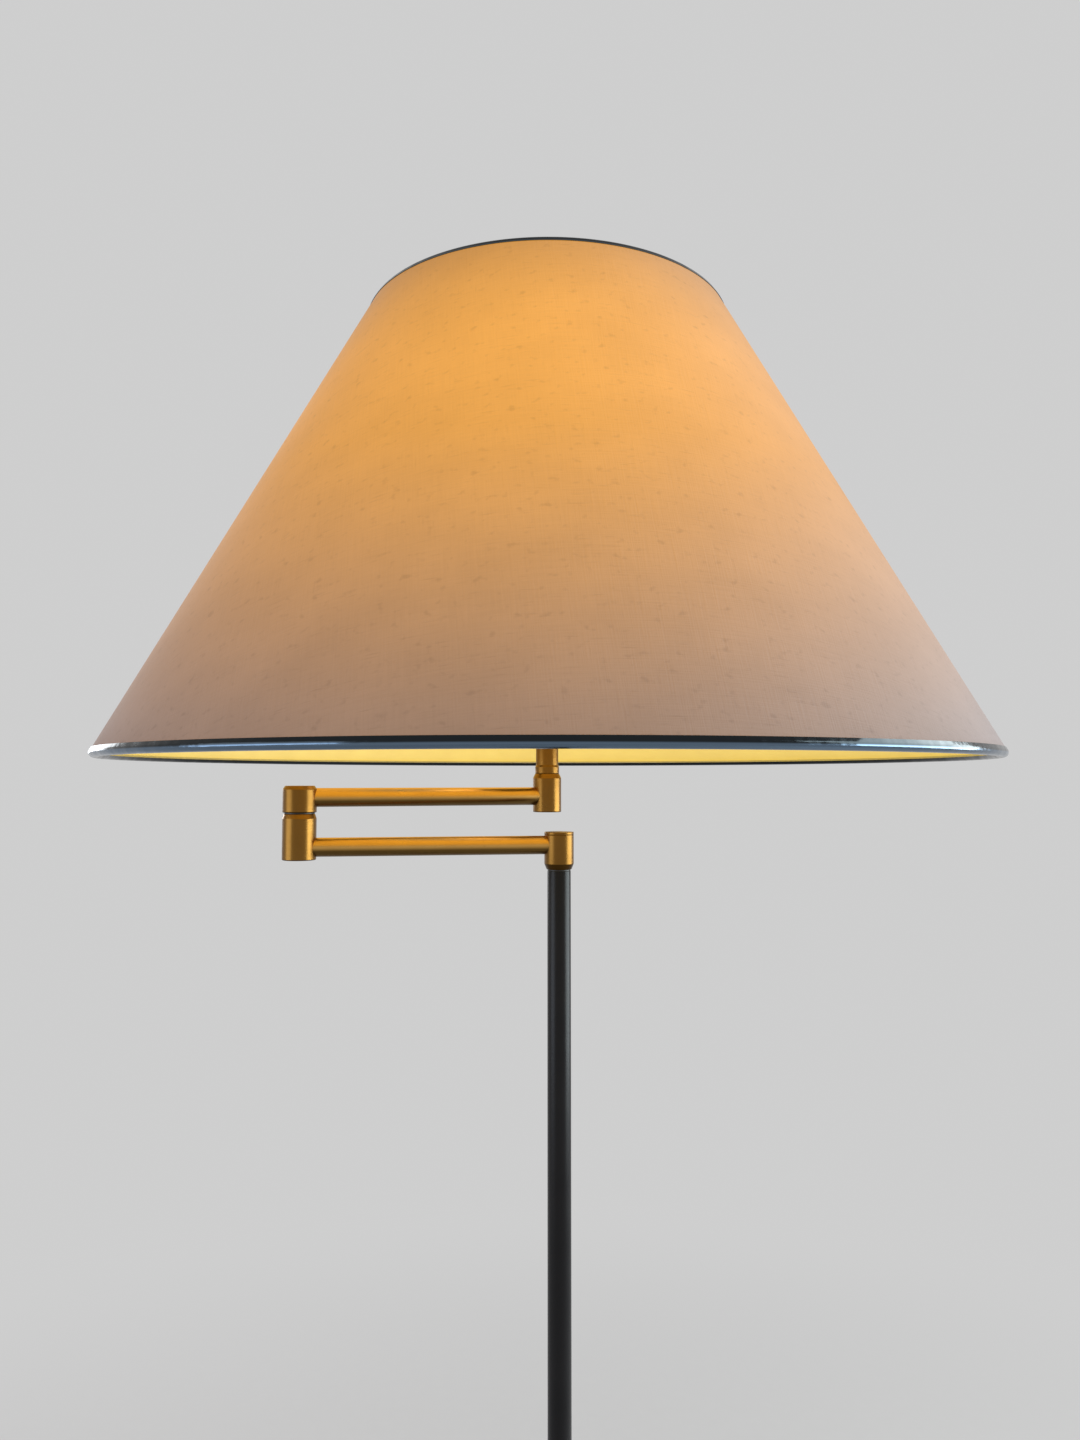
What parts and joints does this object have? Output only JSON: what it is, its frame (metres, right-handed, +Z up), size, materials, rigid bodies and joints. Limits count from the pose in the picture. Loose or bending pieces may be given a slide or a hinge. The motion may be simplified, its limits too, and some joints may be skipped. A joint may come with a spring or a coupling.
{
  "type": "bridge floor lamp",
  "caption": "Floor lamp with a black pole on a round weighted base, a folding brass swing arm and a wide linen cone shade on a harp.",
  "frame": {"origin": "on the pole's axis at the underside of the base", "axes": "+Z up along the pole; at rest the lower arm points along -X and the cord's inlet faces +Y"},
  "size_m": [0.4799, 0.48, 1.4803],
  "materials": {
    "felt": "pressed wool felt",
    "cast_iron": "rough casting",
    "black_lacquer": "satin-gloss black lacquer",
    "zinc_steel": "zinc plated",
    "black_rubber": "matte",
    "white_nylon": "moulded",
    "satin_brass": "satin, lacquered",
    "lead_insulation": "moulded",
    "fibre_sleeve": "pressed fibre",
    "phenolic": "moulded",
    "contact_brass": "bare, stamped",
    "bulb_aluminium": "rolled",
    "bulb_glass": "soft white inside coating",
    "filament": "drawn wire",
    "linen": "slubbed plain weave",
    "styrene_lining": "smooth",
    "gunmetal_trim": "polished, dark nickel"
  },
  "bodies": {
    "stand": {"base_felt": "felt", "base_weight": "cast_iron", "base_cover": "black_lacquer", "base_nipple": "zinc_steel", "base_washer": "zinc_steel", "base_nut": "zinc_steel", "cord_bushing": "black_rubber", "terminal_block": "white_nylon", "terminal_screws": "zinc_steel", "pole_collar": "satin_brass", "pole_foot_insert": "zinc_steel", "pole_lower": "black_lacquer", "pole_coupling": "zinc_steel", "pole_upper": "black_lacquer", "pole_pivot": "zinc_steel", "pole_pivot_nut": "zinc_steel", "pole_lead": "lead_insulation"},
    "lower_arm": {"pole_thrust_washer": "white_nylon", "pole_knuckle": "satin_brass", "pole_wave_washer": "zinc_steel", "pole_knuckle_cap": "satin_brass", "lower_rod": "satin_brass", "elbow_lower_knuckle": "satin_brass", "elbow_bottom_cap": "satin_brass", "lower_arm_lead": "lead_insulation"},
    "upper_arm": {"elbow_thrust_washer": "white_nylon", "elbow_upper_knuckle": "satin_brass", "elbow_top_cap": "satin_brass", "elbow_pivot": "zinc_steel", "elbow_wave_washer": "zinc_steel", "elbow_pivot_nut": "zinc_steel", "upper_rod": "satin_brass", "end_knuckle": "satin_brass", "end_knuckle_cap": "satin_brass", "stem_nipple": "zinc_steel", "stem": "satin_brass", "upper_arm_lead": "lead_insulation", "harp_saddle": "satin_brass", "harp": "satin_brass", "harp_ferrules": "satin_brass", "finial": "satin_brass", "socket_cap": "satin_brass", "socket_shell": "satin_brass", "socket_sleeve": "fibre_sleeve", "socket_body": "phenolic", "screw_shell": "contact_brass", "centre_contact": "contact_brass", "bulb_cap": "bulb_aluminium", "bulb_tip": "phenolic", "bulb_glass": "bulb_glass", "bulb_filament": "filament"},
    "switch_key": {"switch_key": "phenolic"},
    "shade": {"shade_fabric": "linen", "shade_liner": "styrene_lining", "shade_top_ring": "zinc_steel", "shade_bottom_ring": "zinc_steel", "shade_top_trim": "gunmetal_trim", "shade_bottom_trim": "gunmetal_trim", "shade_spider": "satin_brass"}
  },
  "joints": [
    {"name": "pole_swivel", "type": "hinge", "parent": "stand", "child": "lower_arm", "pos_m": [0, 0, 1.1622], "axis": [0, 0, 1], "range_deg": [-170, 170]},
    {"name": "elbow_swivel", "type": "hinge", "parent": "lower_arm", "child": "upper_arm", "pos_m": [-0.138, 0, 1.1898], "axis": [0, 0, 1], "range_deg": [-5, 345]},
    {"name": "shade_turn", "type": "hinge", "parent": "upper_arm", "child": "shade", "pos_m": [-0.00235, 0.02539, 1.4566], "axis": [0, 0, 1], "continuous": true},
    {"name": "switch_turn", "type": "hinge", "parent": "upper_arm", "child": "switch_key", "pos_m": [-0.00235, 0.02539, 1.25165], "axis": [0.184, -0.9829, 0], "continuous": true}
  ]
}
